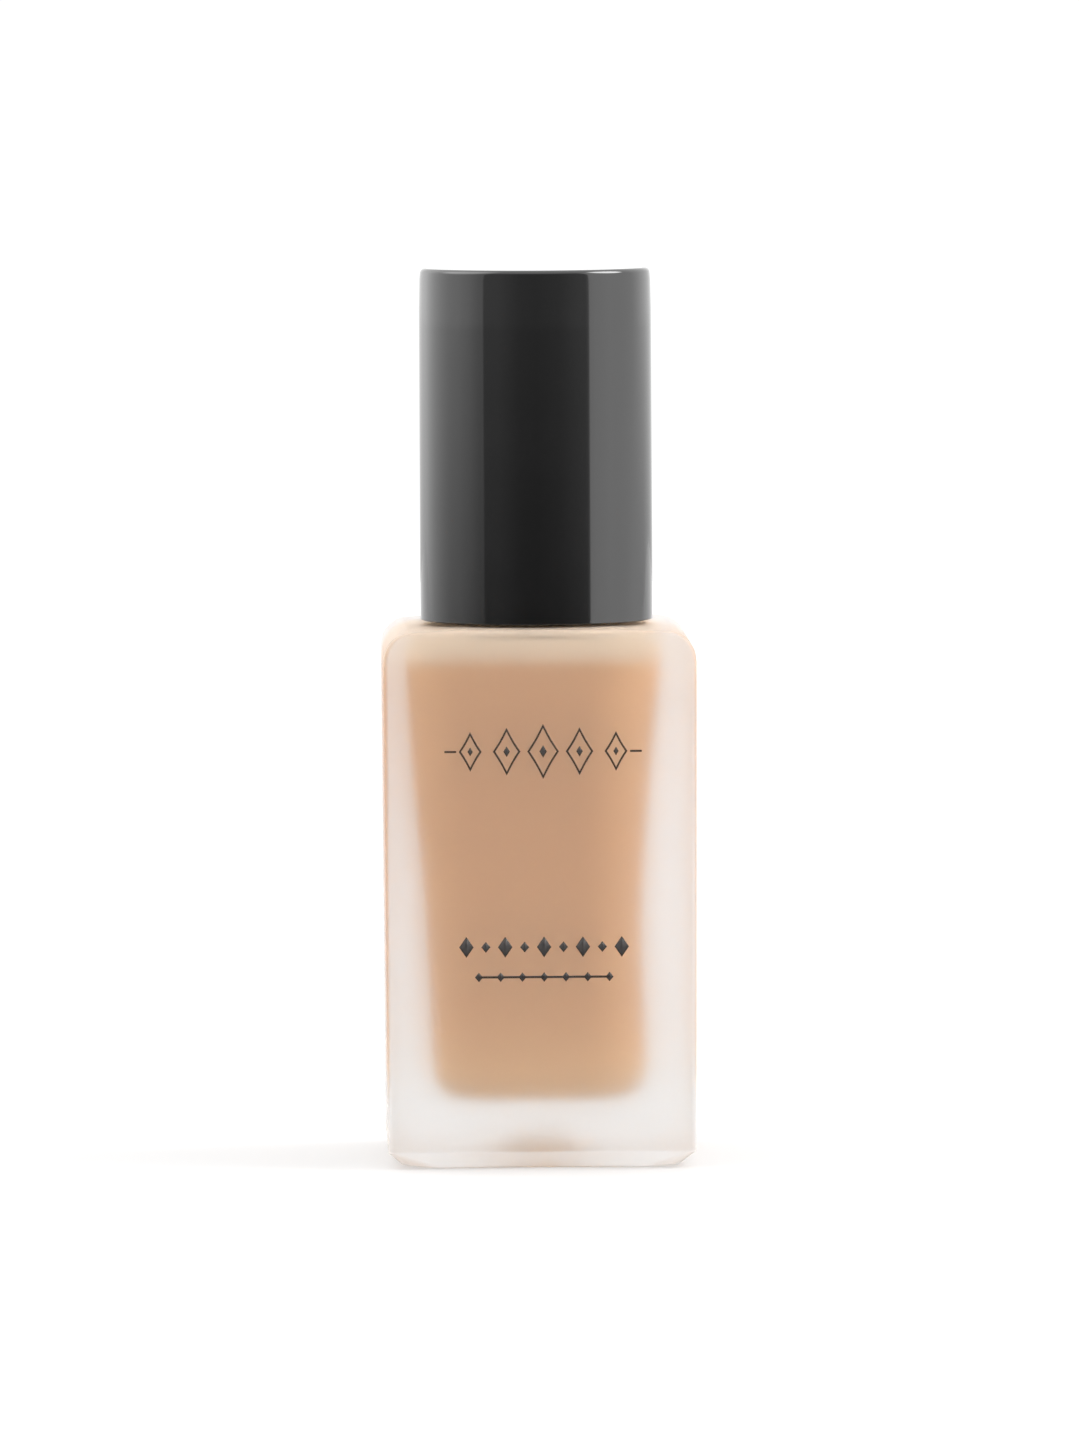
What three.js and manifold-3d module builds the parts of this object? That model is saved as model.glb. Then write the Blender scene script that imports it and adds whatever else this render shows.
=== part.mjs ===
// Frosted square glass foundation bottle with a treatment pump under a tall
// round overcap. Millimetres, +Z up, origin at the centre of the base, the
// printed front of the glass faces -Y.
import * as THREE from 'three';
import { mergeVertices } from 'three/addons/utils/BufferGeometryUtils.js';
import Module from 'manifold-3d';

const wasm = await Module();
wasm.setup();

// ---------------------------------------------------------------- dimensions

// glass body
const BODY_HALF_X_TOP = 18.72; // half width at the top of the side faces
const BODY_HALF_X_LOW = 18.43; // half width just above the base bevel
const BODY_HALF_Y_TOP = 18.55;
const BODY_HALF_Y_LOW = 18.3;
const BODY_EDGE_R = 0.6; // vertical edges
const BASE_HALF = 16.8; // flat the bottle stands on
const BASE_CORNER_R = 5.4;
const BASE_BEVEL_H = 2.0;
const SHOULDER_Z = 64.5; // top of the shoulder beside the neck
const SHOULDER_CORNER_R = 3.4; // front profile, upper corners
const SHOULDER_CORNER_X = 15.25;
const SHOULDER_CORNER_Z = 60.8;
const SHOULDER_EDGE_R = 0.9; // front and back upper edges
const PUNT_R = 9.0;
const PUNT_H = 2.8;

// cavity, as [z, half width]
const CAVITY_FLOOR_Z = 7.6;
const CAVITY = [
  [7.6, 8.6], [7.85, 10.4], [8.7, 11.75], [10.1, 12.6], [12.0, 12.98],
  [20.0, 13.1], [30.0, 13.3], [36.0, 13.65], [45.0, 14.4], [52.0, 14.95],
  [58.2, 15.4], [61.2, 15.45], [62.4, 15.4], [63.1, 15.0], [63.42, 14.2], [63.5, 12.6],
];
const CAVITY_CORNER = 0.46; // plan corner radius as a share of the half width
const FLUID_GAP = 0.25;
const CAVITY_ROOF_Z = 63.5;
const FLUID_LEVEL_Z = 61.5;

// neck finish, about 18/415
const NECK_R = 7.75;
const NECK_BORE_R = 4.75;
const NECK_TOP_Z = 80.2;
const THREAD_CREST_R = 8.85;
const THREAD_PITCH = 3.175;
const THREAD_TURNS = 2.0;
const THREAD_Z = 71.0; // centre of the ridge where it starts

// overcap
const CAP_TOP_Z = 107.2;
const CAP_BOTTOM_Z = 64.8;
const CAP_R_TOP = 13.8;
const CAP_R_BOTTOM = 14.0;
const CAP_FILLET = 1.0;
const CAP_BORE_R = 12.75;
const LINER_R = 12.5;
const LINER_BORE_R = 11.75;

// closure and its sleeve
const SLEEVE_R = 11.4;
const SLEEVE_BORE_R = 10.95;
const SLEEVE_TOP_Z = 84.9;
const CLOSURE_R = 10.7;
const CLOSURE_BORE_R = 9.15;
const CLOSURE_CREST_R = 8.15;
const CLOSURE_TURNS = 1.5;

// pump
const PUMP_BORE_R = 3.6;
const PUMP_TUBE_R = 4.45;
const INLET_TUBE_R = 2.9;
const PUMP_FLANGE_R = 8.7;
const STEM_R = 2.5;
const STEM_WAIST_R = 1.9;
const BALL_R = 1.5;
const BALL_Z = 50.53;
const SPRING_MEAN_R = 2.6;
const SPRING_WIRE_R = 0.3;
const SPRING_Z0 = 55.1;
const SPRING_Z1 = 70.9;
const SPRING_TURNS = 6.5;
const TUBE_R = 1.7;
const TUBE_BORE_R = 1.2;
const TUBE_END_Z = 9.3;

// actuator
const HEAD_R = 7.6;
const HEAD_BOTTOM_Z = 90.0;
const HEAD_TOP_Z = 100.0;
const SPOUT_Z = 96.8;
const SPOUT_R = 1.8;
const SPOUT_TIP = 10.9; // distance of the spout's end from the axis

// ------------------------------------------------------------------- helpers

const V2 = (x, y) => new THREE.Vector2(x, y);

function volumeOf(geometry) {
  const p = geometry.attributes.position;
  const ix = geometry.index.array;
  let v = 0;
  const a = new THREE.Vector3(), b = new THREE.Vector3(), c = new THREE.Vector3();
  for (let i = 0; i < ix.length; i += 3) {
    a.fromBufferAttribute(p, ix[i]);
    b.fromBufferAttribute(p, ix[i + 1]);
    c.fromBufferAttribute(p, ix[i + 2]);
    v += a.dot(b.cross(c)) / 6;
  }
  return v;
}

// Welds a geometry into one closed shell with its faces pointing out.
function weld(geometry) {
  const g = geometry.index ? geometry.toNonIndexed() : geometry.clone();
  g.deleteAttribute('normal');
  if (g.attributes.uv) g.deleteAttribute('uv');
  const m = mergeVertices(g, 1e-4);
  const kept = [];
  const ix = m.index.array;
  for (let i = 0; i < ix.length; i += 3) {
    if (ix[i] !== ix[i + 1] && ix[i + 1] !== ix[i + 2] && ix[i] !== ix[i + 2]) {
      kept.push(ix[i], ix[i + 1], ix[i + 2]);
    }
  }
  m.setIndex(kept);
  if (volumeOf(m) < 0) {
    for (let i = 0; i < kept.length; i += 3) {
      [kept[i], kept[i + 1]] = [kept[i + 1], kept[i]];
    }
    m.setIndex(kept);
  }
  return m;
}

function solid(geometry) {
  const g = weld(geometry);
  return new wasm.Manifold(new wasm.Mesh({
    numProp: 3,
    vertProperties: new Float32Array(g.attributes.position.array),
    triVerts: new Uint32Array(g.index.array),
  }));
}

function geometryOf(manifold) {
  const m = manifold.getMesh();
  const g = new THREE.BufferGeometry();
  g.setAttribute('position', new THREE.BufferAttribute(new Float32Array(m.vertProperties), 3));
  g.setIndex(Array.from(m.triVerts));
  return g;
}

// Revolves a closed [radius, z] outline about Z.
function ring(outline, segments) {
  const pts = outline.map(([r, z]) => V2(r, z));
  pts.push(pts[0].clone());
  return new THREE.LatheGeometry(pts, segments).rotateX(Math.PI / 2);
}

// Revolves a [radius, z] outline that starts and ends on the axis.
function turned(outline, segments) {
  return new THREE.LatheGeometry(outline.map(([r, z]) => V2(r, z)), segments).rotateX(Math.PI / 2);
}

// One rounded square, as points that run the same way for every size.
function roundedSquare(hx, hy, r, n) {
  const out = [];
  const centres = [[hx - r, hy - r, 0], [r - hx, hy - r, 1], [r - hx, r - hy, 2], [hx - r, r - hy, 3]];
  for (const [cx, cy, q] of centres) {
    for (let i = 0; i <= n; i++) {
      const a = (q + i / n) * Math.PI / 2;
      out.push([cx + r * Math.cos(a), cy + r * Math.sin(a)]);
    }
  }
  return out;
}

// A stack of rounded squares joined by ruled walls: levels are [z, hx, hy, r].
function stack(levels, n) {
  const first = roundedSquare(10, 10, 3, n);
  const shape = new THREE.Shape(first.map(([x, y]) => V2(x, y)));
  const g = new THREE.ExtrudeGeometry(shape, {
    depth: levels.length - 1, steps: levels.length - 1, bevelEnabled: false,
  });
  const rings = levels.map(([, hx, hy, r]) => roundedSquare(hx, hy, r, n));
  const p = g.attributes.position;
  for (let i = 0; i < p.count; i++) {
    const k = Math.round(p.getZ(i));
    let best = 0, least = Infinity;
    for (let j = 0; j < first.length; j++) {
      const d = Math.hypot(p.getX(i) - first[j][0], p.getY(i) - first[j][1]);
      if (d < least) { least = d; best = j; }
    }
    p.setXYZ(i, rings[k][best][0], rings[k][best][1], levels[k][0]);
  }
  return g;
}

// Extrudes an [x, z] outline along Y, centred.
function alongY(outline, depth) {
  const shape = new THREE.Shape(outline.map(([x, z]) => V2(x, z)));
  const g = new THREE.ExtrudeGeometry(shape, { depth, bevelEnabled: false });
  return g.translate(0, 0, -depth / 2).rotateX(Math.PI / 2);
}

// Winds a straight bar of [radius, z] section into a helix. rise(t) gives the
// height and fade(t) how far the section stands out from its root radius.
function helix(section, turns, perTurn, rise, root, fade) {
  const steps = Math.round(turns * perTurn);
  const shape = new THREE.Shape(section.map(([r, z]) => V2(r, z)));
  const g = new THREE.ExtrudeGeometry(shape, { depth: 1, steps, bevelEnabled: false });
  const p = g.attributes.position;
  for (let i = 0; i < p.count; i++) {
    const t = p.getZ(i);
    const a = t * turns * 2 * Math.PI;
    const r = root + (p.getX(i) - root) * fade(t);
    p.setXYZ(i, r * Math.cos(a), r * Math.sin(a), rise(t) + p.getY(i));
  }
  return g;
}

const arc = (cx, cz, r, a0, a1, n) => Array.from({ length: n + 1 }, (_, i) => {
  const a = (a0 + (a1 - a0) * i / n) * Math.PI / 180;
  return [cx + r * Math.cos(a), cz + r * Math.sin(a)];
});

const bottle = new THREE.Group();

function add(name, geometry, colour, roughness, metalness = 0, extra = {}) {
  const g = weld(geometry);
  g.computeVertexNormals();
  const mesh = new THREE.Mesh(g, new THREE.MeshStandardMaterial({ color: colour, roughness, metalness, ...extra }));
  mesh.name = name;
  bottle.add(mesh);
  return mesh;
}

// ------------------------------------------------------------- glass bottle

// side walls and the base bevel
let glass = solid(stack([
  [0, BASE_HALF, BASE_HALF - 0.12, BASE_CORNER_R],
  [BASE_BEVEL_H, BODY_HALF_X_LOW, BODY_HALF_Y_LOW, BODY_EDGE_R],
  [SHOULDER_Z + 1, BODY_HALF_X_TOP, BODY_HALF_Y_TOP, BODY_EDGE_R],
], 3));

// upper outline seen from the front: long arcs at both corners
const cornerArc = arc(SHOULDER_CORNER_X, SHOULDER_CORNER_Z, SHOULDER_CORNER_R, 4, 90, 7);
const frontHalf = [[22, -3], [22, 59.6], [18.95, 59.6], ...cornerArc, [12, 64.34], [8.8, SHOULDER_Z]];
const frontOutline = [...frontHalf, ...frontHalf.slice().reverse().map(([x, z]) => [-x, z])];
glass = glass.intersect(solid(alongY(frontOutline, 60)));

// the same from the side, where the edge is nearly sharp
const edgeArc = arc(BODY_HALF_Y_TOP - SHOULDER_EDGE_R, 64.9 - SHOULDER_EDGE_R, SHOULDER_EDGE_R, 8, 90, 3);
const sideHalf = [[22, -3], [22, 63.6], [18.9, 63.6], ...edgeArc.map(([y, z]) => [y, z - 0.35]), [17.2, SHOULDER_Z + 0.3]];
const sideOutline = [...sideHalf, ...sideHalf.slice().reverse().map(([y, z]) => [-y, z])];
glass = glass.intersect(solid(alongY(sideOutline, 60).rotateZ(Math.PI / 2)));

// neck with its two-turn right-hand thread
glass = glass.add(solid(turned([
  [0, 62.4], [8.6, 62.4], [8.6, 64.75], [8.0, 65.0], [NECK_R, 65.6],
  [NECK_R, 79.7], [NECK_R - 0.45, NECK_TOP_Z], [0, NECK_TOP_Z],
], 32)));
const fadeEnds = (length) => (t) => Math.max(0.12, Math.min(1, t / length, (1 - t) / length));
glass = glass.add(solid(helix(
  [[NECK_R - 0.4, -0.95], [NECK_R, -0.85], [THREAD_CREST_R, -0.35], [THREAD_CREST_R, 0.35], [NECK_R, 0.85], [NECK_R - 0.4, 0.95]],
  THREAD_TURNS, 20, (t) => THREAD_Z + THREAD_PITCH * THREAD_TURNS * t, NECK_R - 0.4, fadeEnds(0.09),
)));

// cavity, neck bore and the shallow hollow under the base
const cavity = CAVITY.map(([z, h]) => [z, h, h, h * CAVITY_CORNER]);
glass = glass.subtract(solid(stack(cavity, 4)));
glass = glass.subtract(solid(turned([
  [0, 62], [NECK_BORE_R + 1.6, 62], [NECK_BORE_R + 1.6, CAVITY_ROOF_Z - 0.05], [NECK_BORE_R + 0.6, CAVITY_ROOF_Z + 0.45],
  [NECK_BORE_R, CAVITY_ROOF_Z + 1.4],
  [NECK_BORE_R, 79.6], [NECK_BORE_R + 0.4, 80.6], [0, 80.6],
], 24)));
glass = glass.subtract(solid(turned([
  [0, -1], [PUNT_R + 0.4, -1], [PUNT_R, 0.0], [PUNT_R * 0.8, PUNT_H * 0.45],
  [PUNT_R * 0.45, PUNT_H * 0.85], [0, PUNT_H],
], 24)));
add('glass_bottle', geometryOf(glass), 0xede6e0, 0.55, 0, { transparent: true, opacity: 0.45 });

// ------------------------------------------------------------- product fluid

let fluid = solid(stack([
  ...CAVITY.filter(([z]) => z < FLUID_LEVEL_Z).map(([z, h]) => [
    z + (z < 9 ? FLUID_GAP : 0), h - FLUID_GAP, h - FLUID_GAP, (h - FLUID_GAP) * CAVITY_CORNER]),
  [FLUID_LEVEL_Z, 15.2, 15.2, 15.2 * CAVITY_CORNER],
], 4));
fluid = fluid.subtract(solid(turned([
  [0, TUBE_END_Z - 0.3], [TUBE_R + 0.35, TUBE_END_Z - 0.3], [TUBE_R + 0.35, 41.6], [INLET_TUBE_R + 0.4, 41.6],
  [INLET_TUBE_R + 0.4, 51.2], [PUMP_TUBE_R + 0.4, 52.8], [PUMP_TUBE_R + 0.4, 62], [0, 62],
], 20)));
add('foundation_fluid', geometryOf(fluid), 0xc49d80, 0.35);

// -------------------------------------------------------------------- overcap

add('cap_outer_shell', turned([
  [0, CAP_TOP_Z],
  ...arc(CAP_R_TOP - CAP_FILLET, CAP_TOP_Z - CAP_FILLET, CAP_FILLET, 90, 0, 4),
  [CAP_R_BOTTOM, CAP_BOTTOM_Z + 0.3], [CAP_R_BOTTOM - 0.3, CAP_BOTTOM_Z],
  [CAP_BORE_R + 0.2, CAP_BOTTOM_Z], [CAP_BORE_R, CAP_BOTTOM_Z + 0.2],
  [CAP_BORE_R, 105.6], [0, 105.6],
], 44), 0x0b0b0c, 0.12);

add('cap_inner_liner', turned([
  [0, 105.3], [LINER_R - 0.4, 105.3], [LINER_R, 104.9],
  [LINER_R, 66.5], [LINER_BORE_R + 0.3, 66.5], [LINER_BORE_R, 66.9],
  [LINER_BORE_R, 79.4], [LINER_BORE_R - 0.12, 79.8], [LINER_BORE_R - 0.12, 80.4], [LINER_BORE_R, 80.8],
  [LINER_BORE_R, 104.2], [LINER_BORE_R - 0.4, 104.6], [0, 104.6],
], 36), 0x161617, 0.45);

// ------------------------------------------------------- closure on the neck

add('collar_sleeve', ring([
  [SLEEVE_BORE_R, 66.2], [SLEEVE_R, 66.2], [SLEEVE_R, SLEEVE_TOP_Z - 0.5], [SLEEVE_R - 0.5, SLEEVE_TOP_Z],
  [5.9, SLEEVE_TOP_Z], [5.9, SLEEVE_TOP_Z - 0.6], [SLEEVE_BORE_R, SLEEVE_TOP_Z - 0.6],
], 36), 0x101011, 0.2);

let closure = solid(ring([
  [CLOSURE_BORE_R, 66.6], [CLOSURE_R - 0.3, 66.6], [CLOSURE_R, 66.9], [CLOSURE_R, 83.7], [CLOSURE_R - 0.3, 84.0],
  [4.9, 84.0], [4.9, 82.9], [CLOSURE_BORE_R, 82.9],
], 36));
closure = closure.add(solid(helix(
  [[CLOSURE_CREST_R, -0.3], [CLOSURE_CREST_R, 0.3], [CLOSURE_BORE_R, 0.75], [CLOSURE_BORE_R + 0.4, 0.85],
    [CLOSURE_BORE_R + 0.4, -0.85], [CLOSURE_BORE_R, -0.75]],
  CLOSURE_TURNS, 20, (t) => THREAD_Z - THREAD_PITCH / 2 + THREAD_PITCH * CLOSURE_TURNS * t,
  CLOSURE_BORE_R + 0.4, fadeEnds(0.11),
)));
add('screw_closure', geometryOf(closure), 0x1a1a1b, 0.5);

add('neck_gasket', ring([[5.0, 80.35], [PUMP_FLANGE_R, 80.35], [PUMP_FLANGE_R, 81.35], [5.0, 81.35]], 28), 0xe8e6e0, 0.8);

// ------------------------------------------------------------------- the pump

let housing = solid(ring([
  [1.78, 42.0], [INLET_TUBE_R - 0.3, 42.0], [INLET_TUBE_R, 42.3], [INLET_TUBE_R, 51.4], [PUMP_TUBE_R, 53.0],
  [PUMP_TUBE_R, 81.5], [PUMP_FLANGE_R, 81.5], [PUMP_FLANGE_R, 82.7], [PUMP_BORE_R, 82.7],
  [PUMP_BORE_R, 53.8], [1.95, 52.4], [1.95, 50.2], [0.9, 49.2], [0.9, 48.0], [1.78, 48.0],
], 24));
// air inlet below the flange
housing = housing.subtract(solid(new THREE.CylinderGeometry(0.45, 0.45, 4, 10).rotateZ(Math.PI / 2).translate(4.2, 0, 79.2)));
add('pump_housing', geometryOf(housing), 0xe9e9e6, 0.4);

add('lock_ring', ring([
  [2.7, 78.0], [3.45, 78.0], [3.45, 82.85], [4.6, 82.85], [4.6, 84.4], [3.7, 84.4], [3.7, 85.5], [3.5, 85.7], [2.7, 85.7],
], 24), 0xf0f0ee, 0.4);

let stem = solid(turned([
  [0, 69.3], [1.35, 69.3], [1.35, 72.25], [STEM_WAIST_R, 72.25], [STEM_WAIST_R, 77.9], [STEM_R, 77.9],
  [STEM_R, 95.2], [STEM_R - 0.3, 95.5], [1.3, 95.5], [1.3, 78.6], [1.0, 78.2], [1.0, 73.4], [0, 73.4],
], 20));
stem = stem.subtract(solid(new THREE.CylinderGeometry(0.55, 0.55, 6, 10).rotateZ(Math.PI / 2).translate(0, 0, 74.3)));
add('stem', geometryOf(stem), 0xf2f2f0, 0.35);

add('stem_seat', turned([
  [0, 67.0], [1.8, 67.0], [2.1, 67.4], [2.1, 71.0], [3.0, 71.0], [3.0, 71.9], [2.75, 72.15],
  [1.45, 72.15], [1.45, 69.1], [0, 69.1],
], 20), 0xdedcd8, 0.45);

add('piston', ring([
  [2.6, 72.35], [3.3, 72.35], [3.5, 72.6], [3.5, 73.4], [3.15, 73.9], [3.15, 75.5], [3.5, 76.0], [3.5, 76.8], [3.3, 77.0],
  [2.05, 77.0], [2.05, 75.3], [2.6, 74.8],
], 24), 0xe4e8ea, 0.5);

// compression spring with a closed coil at each end
const springRise = (t) => {
  const end = 0.75 / SPRING_TURNS; // share of the wire in one closed end
  const low = SPRING_Z0 + SPRING_WIRE_R, high = SPRING_Z1 - SPRING_WIRE_R;
  const step = 0.75 * (2 * SPRING_WIRE_R + 0.12);
  if (t < end) return low + step * t / end;
  if (t > 1 - end) return high - step * (1 - t) / end;
  return low + step + (high - low - 2 * step) * (t - end) / (1 - 2 * end);
};
const wire = Array.from({ length: 6 }, (_, i) => [
  SPRING_MEAN_R + SPRING_WIRE_R * Math.cos(i * Math.PI / 3), SPRING_WIRE_R * Math.sin(i * Math.PI / 3)]);
add('return_spring', helix(wire, SPRING_TURNS, 12, springRise, 0, () => 1), 0xb9bcc0, 0.3, 1);

let seat = solid(ring([
  [0.9, 53.4], [1.5, 53.4], [1.7, 53.95], [3.45, 53.95], [3.45, 55.0], [1.7, 55.0], [1.7, 57.2], [1.45, 57.5], [0.9, 57.5],
], 20));
for (let i = 0; i < 3; i++) {
  const notch = new THREE.BoxGeometry(1.4, 1.3, 3).translate(3.4, 0, 54.5).rotateZ(i * 2 * Math.PI / 3 + 0.31);
  seat = seat.subtract(solid(notch));
}
add('spring_seat', geometryOf(seat), 0xe2e2de, 0.5);

add('inlet_ball', new THREE.SphereGeometry(BALL_R, 14, 9).rotateX(Math.PI / 2).translate(0, 0, BALL_Z), 0xc9ccd0, 0.15, 1);

add('dip_tube', ring([
  [TUBE_BORE_R, TUBE_END_Z], [TUBE_R, TUBE_END_Z], [TUBE_R, 47.8], [TUBE_BORE_R, 47.8],
], 20), 0xf4f4f2, 0.4, 0, { transparent: true, opacity: 0.6 });

// ------------------------------------------------------------------- actuator

// inner core: stem socket, snap flange and the spout with its channel
let core = solid(turned([
  [0, 90.4], [4.1, 90.4], [4.3, 90.6], [4.3, 91.2], [6.6, 91.2], [6.6, 92.3], [4.3, 92.7], [4.3, 98.0], [3.9, 98.5], [0, 98.5],
], 24));
core = core.add(solid(new THREE.CylinderGeometry(SPOUT_R, SPOUT_R, SPOUT_TIP - 2, 20).translate(0, -(SPOUT_TIP + 2) / 2, 0).translate(0, 0, SPOUT_Z)));
core = core.subtract(solid(turned([[0, 90.0], [2.62, 90.0], [2.62, 95.7], [0.9, 95.7], [0.9, 96.6], [0, 96.6]], 20)));
core = core.subtract(solid(new THREE.CylinderGeometry(0.8, 0.8, SPOUT_TIP + 0.6, 12).translate(0, -(SPOUT_TIP + 0.6) / 2, 0).translate(0, 0, SPOUT_Z)));
core = core.subtract(solid(new THREE.CylinderGeometry(1.35, 1.35, 2.4, 16).translate(0, -SPOUT_TIP, 0).translate(0, 0, SPOUT_Z)));
add('actuator_core', geometryOf(core), 0x141415, 0.35);

// outer shell: slightly dished top, slot at the front for the spout
let shell = solid(turned([
  [0, 99.55], [3.0, 99.65], [5.6, 99.9], [6.6, HEAD_TOP_Z], [7.2, 99.8], [HEAD_R, 99.3], [HEAD_R, HEAD_BOTTOM_Z + 0.3],
  [HEAD_R - 0.3, HEAD_BOTTOM_Z], [6.85, HEAD_BOTTOM_Z], [6.85, 98.6], [6.5, 98.95], [0, 98.95],
], 36));
shell = shell.subtract(solid(new THREE.CylinderGeometry(2.05, 2.05, 8, 16).translate(0, -8, 0).translate(0, 0, 96.75)));
shell = shell.subtract(solid(new THREE.BoxGeometry(4.1, 8, 8).translate(0, -8, 92.75)));
add('actuator_shell', geometryOf(shell), 0x0d0d0e, 0.15);

// orifice ring in the end of the spout
add('nozzle_insert', ring([
  [0.45, -11.3], [1.1, -11.3], [1.22, -11.15], [1.22, -9.95], [0.45, -9.95],
], 16).rotateX(-Math.PI / 2).translate(0, 0, SPOUT_Z), 0x202022, 0.3);

export default bottle;
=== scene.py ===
import math

import bmesh
import bpy
import numpy as np
from mathutils import Matrix, Vector


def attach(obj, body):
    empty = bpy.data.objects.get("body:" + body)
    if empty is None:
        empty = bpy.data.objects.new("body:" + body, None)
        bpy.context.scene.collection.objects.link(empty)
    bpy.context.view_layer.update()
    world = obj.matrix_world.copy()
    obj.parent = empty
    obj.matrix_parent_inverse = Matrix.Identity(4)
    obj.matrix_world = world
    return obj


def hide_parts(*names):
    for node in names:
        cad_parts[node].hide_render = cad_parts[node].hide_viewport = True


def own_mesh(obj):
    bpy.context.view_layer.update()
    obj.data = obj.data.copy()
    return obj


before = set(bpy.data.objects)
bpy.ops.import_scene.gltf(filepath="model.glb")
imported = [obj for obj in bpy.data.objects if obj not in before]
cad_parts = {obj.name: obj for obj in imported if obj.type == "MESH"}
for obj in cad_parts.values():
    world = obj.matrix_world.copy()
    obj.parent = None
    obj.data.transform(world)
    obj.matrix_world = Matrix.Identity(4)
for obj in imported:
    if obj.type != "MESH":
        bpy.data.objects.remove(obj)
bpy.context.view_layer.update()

MM = 0.001
TAU = 2 * math.pi

# ------------------------------------------------------------------ the sizes
# Millimetres in the CAD frame: +Z up, origin at the centre of the base, the
# printed front of the glass faces -Y.

BODY_X = (18.43, 18.72)  # half width just above the bevel and at z 65.5
BODY_Y = (18.30, 18.55)
BEVEL_Z = 2.0
TAPER_TOP = 65.5
BASE_HALF = 16.8
BASE_R = 5.4
SHOULDER_Z = 64.5
CORNER = (15.25, 60.8, 3.4)
EDGE_R = 0.9
PLAN_R = 0.6
PUNT_H = 2.8
CAVITY = [
    (7.6, 8.6), (7.85, 10.4), (8.7, 11.75), (10.1, 12.6), (12.0, 12.98),
    (20.0, 13.1), (30.0, 13.3), (36.0, 13.65), (45.0, 14.4), (52.0, 14.95),
    (58.2, 15.4), (61.2, 15.45), (62.4, 15.4), (63.1, 15.0), (63.42, 14.2), (63.5, 12.6), (63.52, 8.6),
]
CAVITY_R = (0.44, 0.58)  # plan corner radius as a share of the half width, left and right
LEAN = [(7.6, -0.1), (12.0, -0.15), (16.0, -0.3), (24.0, -0.65), (31.0, -0.85), (46.0, -1.0), (58.0, -0.8), (63.2, -0.7)]  # the hollow is blown a little off centre
NECK_R, NECK_BORE, NECK_TOP = 7.75, 4.75, 80.2
PITCH, THREAD_Z, THREAD_TURNS, CREST = 3.175, 71.0, 2.0, 8.85


# ---------------------------------------------------------------- mesh helpers

def smooth_curve(points, samples):
    """Catmull-Rom through (z, value) pairs, sampled evenly along its length, without overshoot in z."""
    p = np.array(points, float)
    d = np.r_[0, np.cumsum(np.hypot(*np.diff(p, axis=0).T))]
    out = []
    for s in np.linspace(0, d[-1], samples):
        i = min(int(np.searchsorted(d, s, side="right")) - 1, len(p) - 2)
        t = (s - d[i]) / (d[i + 1] - d[i])
        a, b = p[i], p[i + 1]
        pre = p[i - 1] if i > 0 else 2 * a - b
        post = p[i + 2] if i + 2 < len(p) else 2 * b - a
        span = d[i + 1] - d[i]
        ma = (b - pre) / (span + (d[i] - d[i - 1] if i else span)) * span
        mb = (post - a) / (span + (d[i + 2] - d[i + 1] if i + 2 < len(d) else span)) * span
        out.append((2 * t**3 - 3 * t**2 + 1) * a + (t**3 - 2 * t**2 + t) * ma + (3 * t**2 - 2 * t**3) * b + (t**3 - t**2) * mb)
    return [tuple(q) for q in out]


def rounded(outline, radius=0.12, steps=3, closed=True):
    """Rounds the corners of an (r, z) outline. A point may carry its own radius as a third number."""
    pts = [(q[0], q[1], q[2] if len(q) > 2 else radius) for q in outline]
    n = len(pts)
    out = []
    for i, (x, y, rad) in enumerate(pts):
        if not closed and i in (0, n - 1) or rad <= 0:
            out.append((x, y))
            continue
        px, py = pts[i - 1][:2]
        nx, ny = pts[(i + 1) % n][:2]
        a, b = np.array([px - x, py - y]), np.array([nx - x, ny - y])
        la, lb = np.hypot(*a), np.hypot(*b)
        if la < 1e-6 or lb < 1e-6:
            out.append((x, y))
            continue
        a, b = a / la, b / lb
        cosang = float(np.clip(a @ b, -1, 1))
        if cosang < -0.985:
            out.append((x, y))
            continue
        half = math.acos(cosang) / 2
        back = min(rad / math.tan(half), 0.45 * la, 0.45 * lb)
        r = back * math.tan(half)
        p0, p1 = np.array([x, y]) + a * back, np.array([x, y]) + b * back
        mid = (a + b) / np.hypot(*(a + b))
        centre = np.array([x, y]) + mid * (r / math.sin(half))
        a0 = math.atan2(*(p0 - centre)[::-1])
        a1 = math.atan2(*(p1 - centre)[::-1])
        da = (a1 - a0 + math.pi) % TAU - math.pi
        for k in range(steps + 1):
            t = a0 + da * k / steps
            out.append((centre[0] + r * math.cos(t), centre[1] + r * math.sin(t)))
    return out


def make(name, verts, faces, smooth=True, weighted=True):
    """A mesh object from millimetre vertices, with its faces pointing out."""
    mesh = bpy.data.meshes.new(name)
    mesh.from_pydata([tuple(np.array(v) * MM) for v in verts], [], faces)
    bm = bmesh.new()
    bm.from_mesh(mesh)
    bmesh.ops.remove_doubles(bm, verts=bm.verts, dist=1e-7)
    bmesh.ops.dissolve_degenerate(bm, dist=1e-8, edges=bm.edges)
    if bm.calc_volume(signed=True) < 0:
        bmesh.ops.reverse_faces(bm, faces=bm.faces)
    bm.to_mesh(mesh)
    bm.free()
    for p in mesh.polygons:
        p.use_smooth = smooth
    o = bpy.data.objects.new(name, mesh)
    bpy.context.scene.collection.objects.link(o)
    if weighted:
        m = o.modifiers.new("normals", "WEIGHTED_NORMAL")
        m.keep_sharp = False
        m.weight = 80
    return o


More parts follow.
